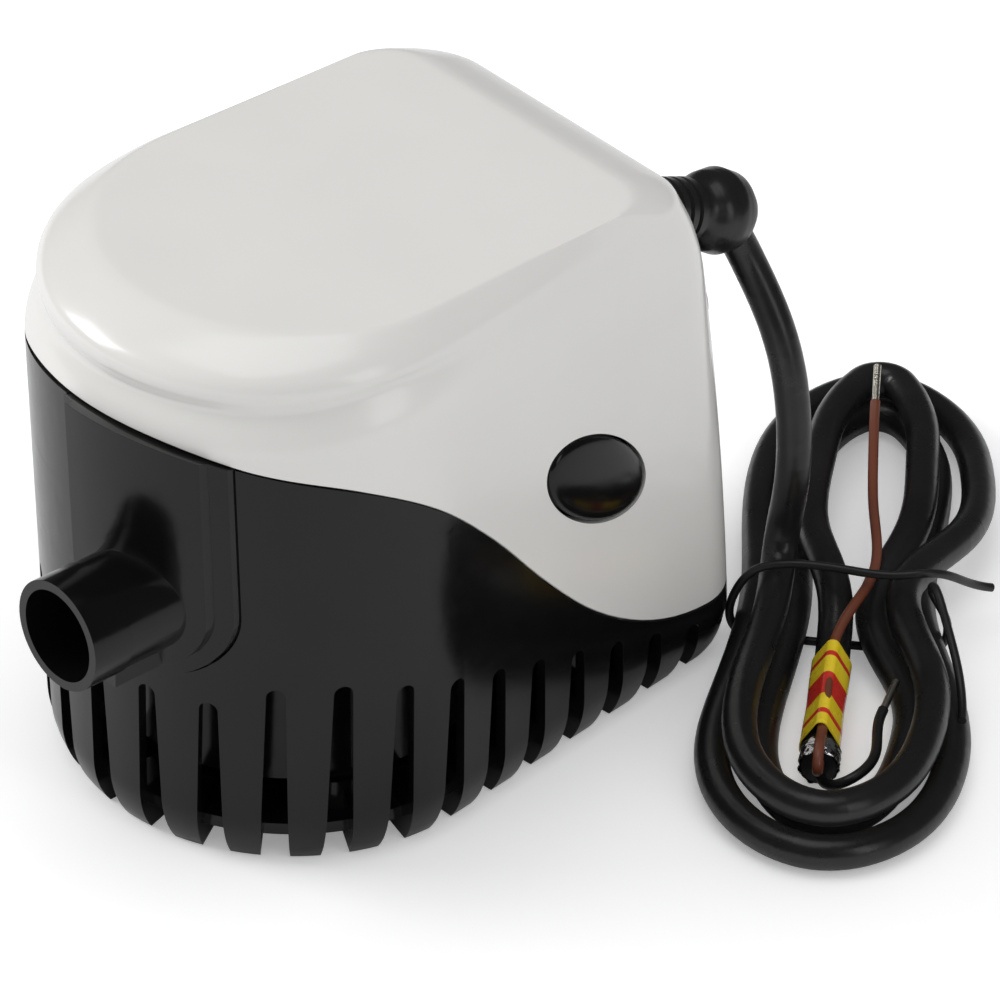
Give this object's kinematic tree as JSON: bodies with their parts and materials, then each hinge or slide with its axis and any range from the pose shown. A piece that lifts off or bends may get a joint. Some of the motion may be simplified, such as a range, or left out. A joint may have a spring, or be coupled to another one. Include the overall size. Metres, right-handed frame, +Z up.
{
  "type": "automatic bilge pump",
  "caption": "Submersible bilge pump with a slotted strainer base, two-tone shell, side outlet spigot, float switch, release buttons and coiled supply cable.",
  "frame": {"origin": "on the floor plane under the motor shaft, which is also the centre of the round front of the shell", "axes": "+Z up along the motor shaft, -Y towards the hose outlet, +X towards the side with the release button seen from the outlet on the right"},
  "size_m": [0.1437, 0.2209, 0.107],
  "materials": {
    "black_plastic": "glossy black moulded plastic",
    "white_plastic": "glossy warm white moulded plastic",
    "grey_plastic": "matte dark grey moulded plastic",
    "rubber_seal": "soft black rubber",
    "plated_steel": "zinc plated drawn steel",
    "ferrite": "dull sintered ferrite",
    "bronze": "sintered bronze",
    "stainless": "stainless steel",
    "lamination": "stacked steel laminations",
    "copper": "enamelled copper",
    "carbon": "pressed carbon",
    "float_foam": "closed-cell float, off-white",
    "reed_glass": "clear glass capsule",
    "circuit_board": "green circuit board",
    "cable_rubber": "black cable jacket, slight sheen",
    "brown_wire": "brown lead insulation",
    "black_wire": "black lead insulation",
    "tinned_copper": "tinned copper strands",
    "yellow_tag": "yellow printed sleeve",
    "foil": "crinkled foil screen",
    "tie_plastic": "plastic coated wire tie"
  },
  "bodies": {
    "pump": {"strainer_base": "black_plastic", "top_cover": "white_plastic", "pump_housing": "black_plastic", "volute_cover": "grey_plastic", "motor_housing": "grey_plastic", "motor_cap": "grey_plastic", "housing_o_ring": "rubber_seal", "motor_can": "plated_steel", "motor_end_bell": "grey_plastic", "magnet_left": "ferrite", "magnet_right": "ferrite", "lower_bush": "bronze", "upper_bush": "bronze", "brushes": "carbon", "brush_springs": "stainless", "shaft_seal": "rubber_seal", "float_chamber": "grey_plastic", "switch_stem": "grey_plastic", "stem_stop": "stainless", "reed_switch": "reed_glass", "inner_frame": "grey_plastic", "control_board": "circuit_board", "relay": "black_plastic", "button_spring_right": "stainless", "button_spring_left": "stainless", "test_spring": "stainless", "volute_cover_screws": "stainless", "motor_flange_screws": "stainless", "frame_screws": "stainless", "cover_screws": "stainless", "cable_jacket": "cable_rubber", "cord_clamp": "grey_plastic", "strain_relief": "cable_rubber", "positive_lead": "brown_wire", "positive_lead_tip": "tinned_copper", "negative_lead": "black_wire", "negative_lead_tip": "tinned_copper", "cable_tag": "yellow_tag", "end_sleeve": "foil", "twist_tie": "tie_plastic"},
    "rotor": {"motor_shaft": "stainless", "armature_core": "lamination", "armature_winding": "copper", "commutator": "copper", "impeller": "grey_plastic"},
    "float_unit": {"float": "float_foam", "float_magnet": "ferrite"},
    "right_button": {"release_button_right": "black_plastic"},
    "left_button": {"release_button_left": "black_plastic"},
    "test_plunger": {"test_button": "black_plastic", "test_magnet": "ferrite"}
  },
  "joints": [
    {"name": "rotor_spin", "type": "hinge", "parent": "pump", "child": "rotor", "pos_m": [0, 0, 0.045], "axis": [0, 0, 1], "continuous": true},
    {"name": "float_rise", "type": "slide", "parent": "pump", "child": "float_unit", "axis": [0, 0, 1], "range_m": [0, 0.018]},
    {"name": "right_button_press", "type": "slide", "parent": "pump", "child": "right_button", "axis": [-1, 0, 0], "range_m": [0, 0.0025], "stiffness_N_per_m": 800, "springref_m": -0.001, "deforming": ["button_spring_right"]},
    {"name": "left_button_press", "type": "slide", "parent": "pump", "child": "left_button", "axis": [1, 0, 0], "range_m": [0, 0.0025], "stiffness_N_per_m": 800, "springref_m": -0.001, "deforming": ["button_spring_left"]},
    {"name": "test_button_press", "type": "slide", "parent": "pump", "child": "test_plunger", "axis": [0, -1, 0], "range_m": [0, 0.0025], "stiffness_N_per_m": 800, "springref_m": -0.001, "deforming": ["test_spring"]}
  ]
}
